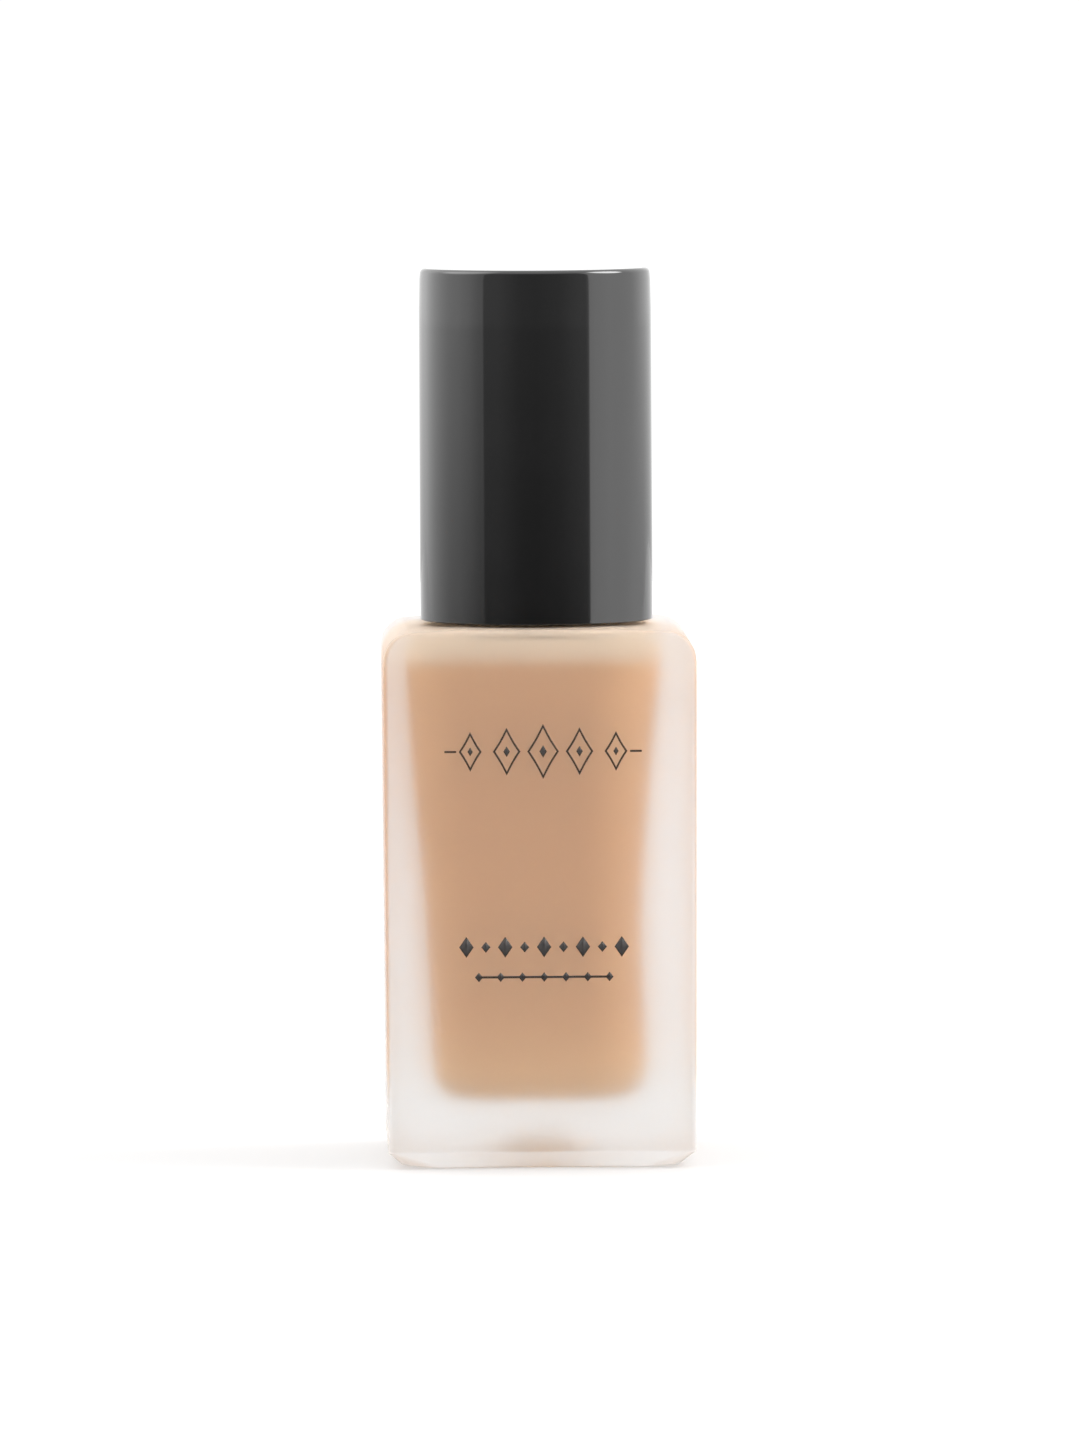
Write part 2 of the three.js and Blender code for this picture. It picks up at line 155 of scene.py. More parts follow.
def ring_stack(rings, start=None, end=None, wrap=False):
    """Verts and quads through equal rings of points. start and end are cap centres; wrap joins last to first."""
    n = len(rings[0])
    verts = [tuple(p) for r in rings for p in r]
    faces = []
    pairs = list(range(len(rings) - 1)) + ([-1] if wrap else [])
    for k in pairs:
        a = (k % len(rings)) * n
        b = ((k + 1) % len(rings)) * n
        for i in range(n):
            j = (i + 1) % n
            faces.append((a + i, a + j, b + j, b + i))
    if start is not None:
        verts.append(start)
        c = len(verts) - 1
        faces += [(c, (i + 1) % n, i) for i in range(n)]
    if end is not None:
        verts.append(end)
        c, a = len(verts) - 1, (len(rings) - 1) * n
        faces += [(c, a + i, a + (i + 1) % n) for i in range(n)]
    return verts, faces


def circle(r, z, n):
    return [(r * math.cos(TAU * i / n), r * math.sin(TAU * i / n), z) for i in range(n)]


def lathe(outline, seg=128, closed=True, radius=0.12, steps=3, soft=True):
    """Revolves an (r, z) outline about Z. An open outline starts and ends on the axis."""
    pts = rounded(outline, radius, steps, closed) if soft else [(q[0], q[1]) for q in outline]
    if closed:
        return ring_stack([circle(r, z, seg) for r, z in pts], wrap=True)
    rings = [circle(r, z, seg) for r, z in pts[1:-1]]
    return ring_stack(rings, start=(0, 0, pts[0][1]), end=(0, 0, pts[-1][1]))


def join(*parts):
    verts, faces = [], []
    for v, f in parts:
        k = len(verts)
        verts += list(v)
        faces += [tuple(i + k for i in q) for q in f]
    return verts, faces


def square_ring(hx, hy, r, z, q=40, corner=20, cx=0.0):
    """A rounded rectangle as 4*q points from the middle of the +X side. r may be (left, right)."""
    side = (q - corner) // 2
    out = []
    radii = r if isinstance(r, tuple) else (r, r)
    for k in range(4):
        a, b = (hx, hy) if k % 2 == 0 else (hy, hx)
        r = radii[1] if k in (0, 3) else radii[0]
        pts = []
        for i in range(side):
            pts.append((a, (b - r) * i / side))
        for i in range(corner):
            t = math.pi / 2 * i / corner
            pts.append((a - r + r * math.cos(t), b - r + r * math.sin(t)))
        for i in range(side):
            pts.append(((a - r) * (1 - i / side), b))
        c, s = [(1, 0), (0, 1), (-1, 0), (0, -1)][k]
        out += [(x * c - y * s + cx, x * s + y * c, z) for x, y in pts]
    return out


def cavity_ring(half, z, grow=0.0):
    """A level of the hollow inside the glass."""
    zs, xs = zip(*LEAN)
    h = half + grow
    return square_ring(h, h, (h * CAVITY_R[0], h * CAVITY_R[1]), z, cx=float(np.interp(z, zs, xs)))


def body_half(z):
    t = (z - BEVEL_Z) / (TAPER_TOP - BEVEL_Z)
    return BODY_X[0] + (BODY_X[1] - BODY_X[0]) * t, BODY_Y[0] + (BODY_Y[1] - BODY_Y[0]) * t


def boolean(target, cutter, operation="DIFFERENCE"):
    m = target.modifiers.new("cut", "BOOLEAN")
    m.operation, m.object, m.solver = operation, cutter, "EXACT"
    bpy.context.view_layer.update()
    mesh = bpy.data.meshes.new_from_object(target.evaluated_get(bpy.context.evaluated_depsgraph_get()))
    target.modifiers.remove(m)
    old = target.data
    target.data = mesh
    bpy.data.meshes.remove(old)
    bpy.data.objects.remove(cutter)


# ------------------------------------------------------------------- materials

def principled(name, **sockets):
    m = bpy.data.materials.new(name)
    m.use_nodes = True
    nt = m.node_tree
    b = nt.nodes["Principled BSDF"]
    for k, v in sockets.items():
        b.inputs[k.replace("_", " ")].default_value = v
    return m, nt, b


def node(nt, kind, **values):
    n = nt.nodes.new(kind)
    for k, v in values.items():
        if hasattr(n, k):
            setattr(n, k, v)
        else:
            n.inputs[k.replace("_", " ")].default_value = v
    return n


def noise(nt, scale, detail=2.0, rough=0.5, stretch=(1, 1, 1)):
    """3-D noise over the object's own coordinates, in metres: scale is cycles per metre."""
    tc = node(nt, "ShaderNodeTexCoord")
    mp = node(nt, "ShaderNodeMapping")
    mp.inputs["Scale"].default_value = stretch
    nt.links.new(tc.outputs["Object"], mp.inputs["Vector"])
    n = node(nt, "ShaderNodeTexNoise", Scale=scale, Detail=detail, Roughness=rough)
    nt.links.new(mp.outputs["Vector"], n.inputs["Vector"])
    return n.outputs["Fac"]


def ramp(nt, fac, stops):
    r = node(nt, "ShaderNodeValToRGB")
    el = r.color_ramp.elements
    while len(el) < len(stops):
        el.new(0.5)
    for e, (p, c) in zip(el, stops):
        e.position = p
        e.color = (*c, 1) if len(c) == 3 else c
    nt.links.new(fac, r.inputs["Fac"])
    return r.outputs["Color"]


def grey(v):
    return (v, v, v)


def bump(nt, b, fac, strength, distance):
    bp = node(nt, "ShaderNodeBump", Strength=strength, Distance=distance)
    nt.links.new(fac, bp.inputs["Height"])
    prev = b.inputs["Normal"].links
    if prev:
        nt.links.new(prev[0].from_socket, bp.inputs["Normal"])
    nt.links.new(bp.outputs["Normal"], b.inputs["Normal"])


def mat_frost():
    m, nt, b = principled("frosted_glass", Base_Color=(0.760, 0.770, 0.775, 1), Roughness=0.55, IOR=1.5, Transmission_Weight=0.9)
    nt.links.new(ramp(nt, noise(nt, 900, 3), [(0.3, grey(0.53)), (0.7, grey(0.59))]), b.inputs["Roughness"])
    bump(nt, b, noise(nt, 6500, 2, 0.6), 0.10, 0.00003)
    return m


def mat_clear():
    m, nt, b = principled("clear_glass", Base_Color=(0.985, 0.978, 0.97, 1), Roughness=0.02, IOR=1.5, Transmission_Weight=1.0)
    bump(nt, b, noise(nt, 220, 1), 0.03, 0.0001)
    return m


FLUID_COLOUR = (0.79, 0.427, 0.197)
# painted light: the liquid near the hollow's floor is painted in this lighter colour
PAINTED_BASE_LIGHT_COLOUR = (0.95, 0.58, 0.295)
# painted glow: the film colour above the level is paler than the liquid to stand in for light that fills the glass
# shoulder
FILM_AND_GLOW_COLOUR = (1.0, 0.77, 0.55)
LEVEL = (0.0600, 0.0626)


def mat_fluid():
    m, nt, b = principled("foundation", Base_Color=(0.62, 0.37, 0.235, 1), Roughness=0.45, Specular_IOR_Level=0.0)
    liquid = ramp(nt, noise(nt, 60, 3), [(0.35, tuple(c * 0.985 for c in FLUID_COLOUR)), (0.65, tuple(c * 1.015 for c in FLUID_COLOUR))])
    # the film's paler colour is a painted glow, not the liquid's own tone
    film = ramp(nt, noise(nt, 110, 3), [(0.35, tuple(c * 0.96 for c in FILM_AND_GLOW_COLOUR)), (0.65, FILM_AND_GLOW_COLOUR)])
    # above the liquid's level a thin film clings to the glass; it is painted paler than the liquid, a painted glow
    # standing in for light that fills the glass shoulder
    tc = node(nt, "ShaderNodeTexCoord")
    sep = node(nt, "ShaderNodeSeparateXYZ")
    nt.links.new(tc.outputs["Object"], sep.inputs[0])
    wave = node(nt, "ShaderNodeMath", operation="MULTIPLY_ADD")
    nt.links.new(noise(nt, 70, 2), wave.inputs[0])
    wave.inputs[1].default_value = 0.0014
    nt.links.new(sep.outputs["Z"], wave.inputs[2])
    # near the floor of the hollow the liquid is painted lighter, painted light standing in for light that enters
    # through the thick base and scatters in the liquid
    low = node(nt, "ShaderNodeMapRange", interpolation_type="SMOOTHERSTEP")
    low.inputs["From Min"].default_value = 0.0215
    low.inputs["From Max"].default_value = 0.0045
    nt.links.new(sep.outputs["Z"], low.inputs["Value"])
    lit = node(nt, "ShaderNodeMix", data_type="RGBA")
    nt.links.new(low.outputs[0], lit.inputs["Factor"])
    nt.links.new(liquid, lit.inputs[6])
    lit.inputs[7].default_value = (*PAINTED_BASE_LIGHT_COLOUR, 1)
    liquid = lit.outputs[2]
    level = node(nt, "ShaderNodeMapRange", interpolation_type="SMOOTHSTEP")
    level.inputs["From Min"].default_value = LEVEL[0]
    level.inputs["From Max"].default_value = LEVEL[1]
    nt.links.new(wave.outputs[0], level.inputs["Value"])
    mixed = node(nt, "ShaderNodeMix", data_type="RGBA")
    nt.links.new(level.outputs[0], mixed.inputs["Factor"])
    nt.links.new(liquid, mixed.inputs[6])
    nt.links.new(film, mixed.inputs[7])
    nt.links.new(mixed.outputs[2], b.inputs["Base Color"])
    return m


def mat_gloss(name="black_gloss", base=0.006, rough=0.05):
    m, nt, b = principled(name, Base_Color=(base, base, base * 1.04, 1), Roughness=rough, IOR=1.58)
    nt.links.new(ramp(nt, noise(nt, 700, 4, 0.6, (1, 1, 0.25)), [(0.35, grey(rough * 0.7)), (0.75, grey(rough * 1.7))]), b.inputs["Roughness"])
    nt.links.new(ramp(nt, noise(nt, 90, 2), [(0.3, (base * 0.85,) * 3), (0.7, (base * 1.25, base * 1.22, base * 1.25))]), b.inputs["Base Color"])
    bump(nt, b, noise(nt, 120, 1), 0.03, 0.00006)
    return m


def mat_satin(name="black_satin", base=(0.016, 0.016, 0.017), rough=0.42):
    m, nt, b = principled(name, Base_Color=(*base, 1), Roughness=rough)
    nt.links.new(ramp(nt, noise(nt, 1500, 3), [(0.3, grey(rough - 0.06)), (0.7, grey(rough + 0.08))]), b.inputs["Roughness"])
    nt.links.new(ramp(nt, noise(nt, 200, 2), [(0.3, tuple(c * 0.9 for c in base)), (0.7, tuple(c * 1.15 for c in base))]), b.inputs["Base Color"])
    bump(nt, b, noise(nt, 5200, 2), 0.18, 0.00004)
    return m


def mat_milky(name, base, rough=0.32, sss=0.25):
    m, nt, b = principled(name, Base_Color=(*base, 1), Roughness=rough, Subsurface_Weight=sss)
    b.inputs["Subsurface Radius"].default_value = (1.0, 0.9, 0.8)
    b.inputs["Subsurface Scale"].default_value = 0.0012
    nt.links.new(ramp(nt, noise(nt, 160, 3), [(0.3, tuple(c * 0.96 for c in base)), (0.7, tuple(min(1, c * 1.03) for c in base))]), b.inputs["Base Color"])
    nt.links.new(ramp(nt, noise(nt, 1100, 2), [(0.3, grey(rough - 0.05)), (0.7, grey(rough + 0.07))]), b.inputs["Roughness"])
    bump(nt, b, noise(nt, 3800, 2), 0.12, 0.00003)
    return m


def mat_steel():
    m, nt, b = principled("steel", Base_Color=(0.66, 0.65, 0.64, 1), Metallic=1.0, Roughness=0.2)
    nt.links.new(ramp(nt, noise(nt, 2600, 3, 0.6, (1, 1, 4)), [(0.3, grey(0.14)), (0.75, grey(0.3))]), b.inputs["Roughness"])
    nt.links.new(ramp(nt, noise(nt, 400, 2), [(0.3, (0.60, 0.59, 0.58)), (0.7, (0.70, 0.69, 0.68))]), b.inputs["Base Color"])
    return m


def mat_foam():
    m, nt, b = principled("gasket_foam", Base_Color=(0.80, 0.785, 0.74, 1), Roughness=0.8)
    nt.links.new(ramp(nt, noise(nt, 900, 4), [(0.3, (0.74, 0.725, 0.68)), (0.7, (0.84, 0.825, 0.78))]), b.inputs["Base Color"])
    bump(nt, b, noise(nt, 2600, 3, 0.7), 0.4, 0.00008)
    return m


def mat_tube():
    m, nt, b = principled("clear_tube", Base_Color=(0.93, 0.93, 0.91, 1), Roughness=0.22, IOR=1.48, Transmission_Weight=0.7)
    nt.links.new(ramp(nt, noise(nt, 700, 2, 0.5, (1, 1, 0.1)), [(0.3, grey(0.18)), (0.7, grey(0.28))]), b.inputs["Roughness"])
    return m


def mat_ink():
    m, nt, b = principled("ink", Base_Color=(0.018, 0.014, 0.012, 1), Roughness=0.38)
    nt.links.new(ramp(nt, noise(nt, 2400, 3), [(0.3, (0.012, 0.010, 0.009)), (0.75, (0.034, 0.026, 0.022))]), b.inputs["Base Color"])
    nt.links.new(ramp(nt, noise(nt, 3000, 2), [(0.3, grey(0.3)), (0.7, grey(0.46))]), b.inputs["Roughness"])
    return m


FROST, CLEAR, FLUID = mat_frost(), mat_clear(), mat_fluid()
GLOSS, SATIN = mat_gloss(), mat_satin()
WHITE = mat_milky("natural_plastic", (0.80, 0.80, 0.77))
MILKY = mat_milky("piston_plastic", (0.70, 0.75, 0.78), 0.3, 0.35)
STEEL, FOAM, TUBE, INK = mat_steel(), mat_foam(), mat_tube(), mat_ink()


def place(o, material, body, slot, *replaced):
    o.data.materials.clear()
    for m in material if isinstance(material, (list, tuple)) else (material,):
        o.data.materials.append(m)
    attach(o, body)
    if replaced:
        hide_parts(*replaced)
    return o


# ---------------------------------------------------------------- glass bottle

def glass_rings():
    """Rings from the centre of the base, up the outside, over the neck's land and down inside to the cavity's floor, with the index where the inside starts."""
    n = 160
    rings = []
    # shallow hollow under the base
    for r in np.linspace(0.8, 8.2, 9):
        t = r / 9.0
        rings.append(circle(r, PUNT_H * (1 - t * t) ** 0.9 if t < 1 else 0, n))
    for r, z in ((8.7, 0.10), (9.0, 0.03), (9.3, 0.0)):
        rings.append(circle(r, z, n))
    # flat ring and the bevel, with small radii where they meet
    def base_level(t):
        hx = BASE_HALF + (BODY_X[0] - BASE_HALF) * t
        hy = BASE_HALF - 0.12 + (BODY_Y[0] - BASE_HALF + 0.12) * t
        return hx, hy, BASE_R + (PLAN_R - BASE_R) * t, BEVEL_Z * t
    hx, hy, r, _ = base_level(0)
    for inset in (5.2, 3.0, 1.0, 0.35):
        rings.append(square_ring(hx - inset, hy - inset, max(r - inset * 0.4, 2.0), 0.0))
    rings.append(square_ring(hx - 0.12, hy - 0.12, r - 0.05, 0.03))
    for t in (0.07, 0.14, 0.3, 0.5, 0.7, 0.84, 0.91):
        hx, hy, r, z = base_level(t)
        rings.append(square_ring(hx, hy, r, z))
    for z, inset in ((1.93, 0.045), (2.06, 0.012), (2.22, 0.0), (2.6, 0.0)):
        hx, hy = body_half(z)
        rings.append(square_ring(hx - inset, hy - inset, PLAN_R + 0.05, z))
    # side walls
    for z in np.r_[np.arange(4, 60, 2.0), 60.0, 60.6]:
        hx, hy = body_half(z)
        rings.append(square_ring(hx, hy, PLAN_R, z))
    # shoulder: long arcs left and right, small ones front and back
    cx, cz, cr = CORNER
    def depth_half(z):
        hy = body_half(z)[1]
        low = SHOULDER_Z - EDGE_R
        return hy if z <= low else hy - EDGE_R + math.sqrt(max(EDGE_R**2 - (z - low) ** 2, 0))
    for a in np.linspace(3, 90, 26):
        z = cz + cr * math.sin(math.radians(a))
        hx = min(cx + cr * math.cos(math.radians(a)), body_half(z)[0])
        rings.append(square_ring(hx, depth_half(z), min(PLAN_R, hx), z))
    for x, z in ((14.3, 64.245), (13.2, 64.295), (12.0, 64.345), (10.8, 64.40), (9.9, 64.45), (9.3, 64.475)):
        rings.append(square_ring(x, depth_half(z), PLAN_R, z))
    rings.append(square_ring(9.0, 17.9, 1.4, SHOULDER_Z))
    rings.append(square_ring(8.9, 15.0, 4.0, SHOULDER_Z))
    rings.append(square_ring(8.85, 11.0, 6.5, SHOULDER_Z))
    rings.append(circle(8.75, SHOULDER_Z + 0.01, n))
    for a in np.linspace(0, 90, 8):
        rings.append(circle(8.65 - 0.9 * math.sin(math.radians(a)), 65.45 - 0.9 * math.cos(math.radians(a)), n))
    # neck and its thread
    for z in np.arange(66.2, 79.45, 0.16):
        ring = []
        for i in range(n):
            phi = TAU * i / n
            h = 0.0
            for k in range(3):
                total = phi + TAU * k
                if total > THREAD_TURNS * TAU:
                    continue
                t = total / (THREAD_TURNS * TAU)
                fade = max(0.0, min(1.0, t / 0.09, (1 - t) / 0.09))
                fade = fade * fade * (3 - 2 * fade)
                d = abs(z - (THREAD_Z + PITCH * total / TAU))
                s = min(max((0.9 - d) / 0.56, 0.0), 1.0)
                h = max(h, fade * (CREST - NECK_R) * s * s * (3 - 2 * s))
            ring.append(((NECK_R + h) * math.cos(phi), (NECK_R + h) * math.sin(phi), z))
        rings.append(ring)
    for a in np.linspace(0, 90, 6):
        rings.append(circle(NECK_R - 0.5 + 0.5 * math.cos(math.radians(a)), 79.7 + 0.5 * math.sin(math.radians(a)), n))
    for a in np.linspace(90, 180, 6):
        rings.append(circle(NECK_BORE + 0.4 + 0.4 * math.cos(math.radians(a)), 79.8 + 0.4 * math.sin(math.radians(a)), n))
    inside = len(rings) - 3
    for z in np.linspace(78, 65.6, 8):
        rings.append(circle(NECK_BORE, z, n))
    for r, z in ((4.8, 64.9), (4.95, 64.4), (5.3, 63.95), (5.9, 63.67), (6.7, 63.54)):
        rings.append(circle(r, z, n))
    for z, h in reversed(smooth_curve(CAVITY, 64)):
        rings.append(cavity_ring(h, z))
    rings.append(cavity_ring(6.0, 7.58))
    rings.append(cavity_ring(2.5, 7.56))
    return rings, inside


rings, inside = glass_rings()
verts, faces = ring_stack(rings, start=(0, 0, PUNT_H), end=(0, 0, 7.55))
n = len(rings[0])
first_inside = inside * n
mesh = bpy.data.meshes.new("glass_body")
mesh.from_pydata([tuple(np.array(v) * MM) for v in verts], [], faces)
for p in mesh.polygons:
    low = min(p.vertices)
    near_axis_end = max(p.vertices) == len(verts) - 1
    p.material_index = 1 if low >= first_inside or near_axis_end else 0
    p.use_smooth = True
bm = bmesh.new()
bm.from_mesh(mesh)
if bm.calc_volume(signed=True) < 0:
    bmesh.ops.reverse_faces(bm, faces=bm.faces)
bm.to_mesh(mesh)
bm.free()
glass = bpy.data.objects.new("glass_body", mesh)
bpy.context.scene.collection.objects.link(glass)
glass.modifiers.new("normals", "WEIGHTED_NORMAL").weight = 80
mesh.materials.append(FROST)
mesh.materials.append(CLEAR)
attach(glass, "bottle")
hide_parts("glass_bottle")


# --------------------------------------------------------------- product fluid

def fluid_mesh():
    """The liquid against the cavity's wall, up to its level, with a pocket round the pump."""
    n = 160
    grow = 0.03
    prof = smooth_curve(CAVITY, 64)
    rings = [cavity_ring(2.5, 7.53), cavity_ring(6.0, 7.55)]
    for z, h in prof:
        z2 = z - grow if z < 9 else z + (grow if z > 62 else 0)
        rings.append(cavity_ring(h, z2, grow))
    # level surface beside the neck, then the pocket
    for r, z in ((6.72, 63.57), (5.93, 63.7), (5.33, 63.98), (4.98, 64.43), (4.83, 64.93), (4.78, 65.6)):
        rings.append(circle(r, z, n))
    for r, z in ((4.62, 65.7), (4.53, 65.5), (4.53, 60.3), (4.53, 53.0), (3.0, 51.3), (3.0, 41.8), (1.8, 41.75), (1.8, 20.0), (1.8, 9.0)):
        rings.append(circle(r, z, n))
    return ring_stack(rings, start=(0, 0, 7.52), end=(0, 0, 8.95))


fluid = make("foundation_fill", *fluid_mesh())
place(fluid, FLUID, "bottle", "foundation", "foundation_fluid")


# ---------------------------------------------------------------------- prints

def on_front(x, z, lift):
    """A point on the front of the glass, lift mm proud of it."""
    return (x, -(body_half(z)[1] + lift), z)


def film(outline_pairs, thick=0.03):
    """A closed strip of ink on the front: pairs of (inner, outer) (x, z) points along a loop or line."""
    verts, faces = [], []
    loop, pairs = outline_pairs
    for (ax, az), (bx, bz) in pairs:
        verts += [on_front(ax, az, -0.01), on_front(bx, bz, -0.01), on_front(bx, bz, thick), on_front(ax, az, thick)]
    m = len(pairs)
    for i in range(m if loop else m - 1):
        a, b = 4 * i, 4 * ((i + 1) % m)
        for k in range(4):
            faces.append((a + k, a + (k + 1) % 4, b + (k + 1) % 4, b + k))
    if not loop:
        faces += [(3, 2, 1, 0), (4 * m - 4, 4 * m - 3, 4 * m - 2, 4 * m - 1)]
    return verts, faces


def lozenge(cx, cz, w, h, stroke):
    """An outlined lozenge with sides bowed slightly in."""
    def ring_at(off):
        pts = []
        k = math.hypot(w / 2, h / 2) / (w / 2 * h / 2) * off
        a, b = w / 2 * (1 + k), h / 2 * (1 + k)
        corners = [(a, 0), (0, b), (-a, 0), (0, -b)]
        for i in range(4):
            (x0, z0), (x1, z1) = corners[i], corners[(i + 1) % 4]
            for s in range(6):
                t = s / 6
                bow = 1 - 0.05 * math.sin(math.pi * t)
                pts.append((cx + (x0 + (x1 - x0) * t) * bow, cz + (z0 + (z1 - z0) * t) * bow))
        return pts
    return film((True, list(zip(ring_at(-stroke / 2), ring_at(stroke / 2)))))


def bar(x0, x1, cz, height, ends=0.3):
    """A filled bar with round ends."""
    pairs = []
    r = height / 2
    for t in np.linspace(0, 1, 7):
        a = math.pi / 2 * (1 - t)
        pairs.append(((x0 + r - r * math.sin(a), cz - r * math.cos(a) * 0.999 - 1e-4), (x0 + r - r * math.sin(a), cz + r * math.cos(a) * 0.999 + 1e-4)))
    for t in np.linspace(0, 1, 7):
        a = math.pi / 2 * t
        pairs.append(((x1 - r + r * math.sin(a), cz - r * math.cos(a) * 0.999 - 1e-4), (x1 - r + r * math.sin(a), cz + r * math.cos(a) * 0.999 + 1e-4)))
    return film((False, pairs))


def solid_lozenge(cx, cz, w, h):
    pairs = []
    for t in np.linspace(-0.995, 0.995, 9):
        x = cx + w / 2 * t
        k = h / 2 * (1 - abs(t))
        pairs.append(((x, cz - k), (x, cz + k)))
    return film((False, pairs))


PRINT_X = 0.3
motif = []
for i in range(-2, 3):
    size = (1.0, 0.86, 0.7)[abs(i)]
    motif.append(lozenge(PRINT_X + i * 4.35, 50.0, 3.5 * size, 6.1 * size, 0.24))
    motif.append(solid_lozenge(PRINT_X + i * 4.35, 50.0, 0.9 * size, 1.5 * size))
for side in (-1, 1):
    a, b = sorted((PRINT_X + side * 10.35, PRINT_X + side * 11.8))
    motif.append(bar(a, b, 50.0, 0.24))
upper = make("front_motif", *join(*motif), weighted=False)
place(upper, INK, "bottle", "black_satin")

row = []
for i in range(9):
    x = PRINT_X + (i - 4) * 2.32
    row.append(solid_lozenge(x, 26.6, 1.72 if i % 2 == 0 else 1.1, 2.5 if i % 2 == 0 else 1.3))
row.append(bar(PRINT_X - 7.9, PRINT_X + 7.9, 23.0, 0.26))
for i in range(-3, 4):
    row.append(solid_lozenge(PRINT_X + i * 2.6, 23.0, 0.95, 1.15))
lower = make("front_bands", *join(*row), weighted=False)
place(lower, INK, "bottle", "black_satin")


# --------------------------------------------------------------------- overcap

cap_outline = [
    (0, 107.2), (13.79, 107.2, 0.85), (13.93, 105.9, 3.0), (14.0, 102.5, 12.0), (14.0, 64.8, 0.12), (12.85, 64.8, 0.12), (12.75, 65.6, 0.1), (12.75, 105.6, 0.3), (0, 105.6),
]
pts = rounded(cap_outline, 0.2, 12, closed=False)
# extra rings along the long walls keep the shading even
long_pts = []
for (r0, z0), (r1, z1) in zip(pts, pts[1:]):
    k = max(1, int(math.hypot(r1 - r0, z1 - z0) / 2.5))
    long_pts += [(r0 + (r1 - r0) * i / k, z0 + (z1 - z0) * i / k) for i in range(k)]
long_pts.append(pts[-1])
cap = make("cap_shell", *lathe(long_pts, 256, closed=False, soft=False))
place(cap, GLOSS, "overcap", "black_gloss", "cap_outer_shell")

liner_profile = [
    (0, 105.3), (12.5, 105.3, 0.35), (12.5, 66.5), (11.95, 66.5, 0.2), (11.75, 67.2, 0.2),
    (11.75, 79.2, 0.3), (11.63, 79.8, 0.2), (11.63, 80.4, 0.2), (11.75, 81.0, 0.3), (11.75, 104.6, 0.4), (0, 104.6),
]
liner_parts = [lathe(liner_profile, 192, closed=False)]
liner = make("cap_liner", *join(*liner_parts))
place(liner, SATIN, "overcap", "black_satin", "cap_inner_liner")


# -------------------------------------------------------- closure on the neck

collar = make("collar", *lathe([
    (10.95, 66.2), (11.4, 66.2), (11.4, 79.6, 0.08), (11.32, 79.75, 0.05), (11.32, 80.45, 0.05), (11.4, 80.6, 0.08), (11.4, 84.9, 0.5), (5.9, 84.9, 0.15), (5.9, 84.3), (10.95, 84.3),
], 192, radius=0.1, steps=5))
place(collar, GLOSS, "closure", "black_gloss", "collar_sleeve")


def thread_inside():
    """Right-hand ridge inside the closure, with run-out at both ends."""
    turns, per = 1.5, 96
    steps = int(turns * per)
    rings = []
    for i in range(steps + 1):
        t = i / steps
        phi = turns * TAU * t
        fade = max(0.04, min(1, t / 0.11, (1 - t) / 0.11))
        zc = THREAD_Z - PITCH / 2 + PITCH * turns * t
        sec = rounded([(8.15, -0.3), (8.15, 0.3), (9.15, 0.75, 0), (9.35, 0.8, 0), (9.35, -0.8, 0), (9.15, -0.75, 0)], 0.12, 3)
        rings.append([((9.35 + (r - 9.35) * fade) * math.cos(phi), (9.35 + (r - 9.35) * fade) * math.sin(phi), zc + z) for r, z in sec])
    v, f = ring_stack(rings)
    m = len(rings[0])
    f += [tuple(range(m)), tuple(range(len(v) - 1, len(v) - 1 - m, -1))]
    return v, f


closure = make("closure_shell", *lathe([
    (9.15, 66.6), (10.7, 66.6, 0.3), (10.7, 84.0, 0.3), (4.9, 84.0), (4.9, 82.9), (9.15, 82.9, 0.3),
], 192, radius=0.1))
ridge = make("ridge", *thread_inside(), weighted=False)
boolean(closure, ridge, "UNION")
for p in closure.data.polygons:
    p.use_smooth = True
place(closure, SATIN, "closure", "black_satin", "screw_closure")

gasket = make("gasket", *lathe([(5.0, 80.32), (8.7, 80.32), (8.7, 81.38), (5.0, 81.38)], 128, radius=0.18))
place(gasket, FOAM, "pump_body", "gasket_foam", "neck_gasket")


# --------------------------------------------------------------------- the pump

housing = make("housing", *lathe([
    (1.78, 42.0, 0.08), (2.9, 42.0, 0.35), (2.9, 51.4, 0.3), (4.45, 53.0, 0.5), (4.45, 81.5, 0.25), (8.7, 81.5, 0.15), (8.7, 82.7, 0.15), (3.6, 82.7, 0.2),
    (3.6, 53.8, 0.3), (1.95, 52.4, 0.1), (1.95, 50.2, 0.1), (0.9, 49.2, 0.06), (0.9, 48.0, 0.05), (1.78, 48.0, 0.05),
], 128))
hole = make("hole", *[x for x in lathe([(0, 3.0), (0.45, 3.0), (0.45, 6.0), (0, 6.0)], 32, closed=False, soft=False)], weighted=False)
hole.data.transform(Matrix.Translation((0, 0, 79.2 * MM)) @ Matrix.Rotation(math.pi / 2, 4, "Y"))
boolean(housing, hole)
for p in housing.data.polygons:
    p.use_smooth = True
place(housing, WHITE, "pump_body", "natural_plastic", "pump_housing")

lock = make("snap_ring", *lathe([
    (2.7, 78.0), (3.45, 78.0), (3.45, 82.85, 0.05), (4.6, 82.85), (4.6, 84.4, 0.2), (3.7, 84.4, 0.1), (3.7, 85.7, 0.3), (2.7, 85.7, 0.2),
], 128, radius=0.1))
place(lock, WHITE, "pump_body", "natural_plastic", "lock_ring")

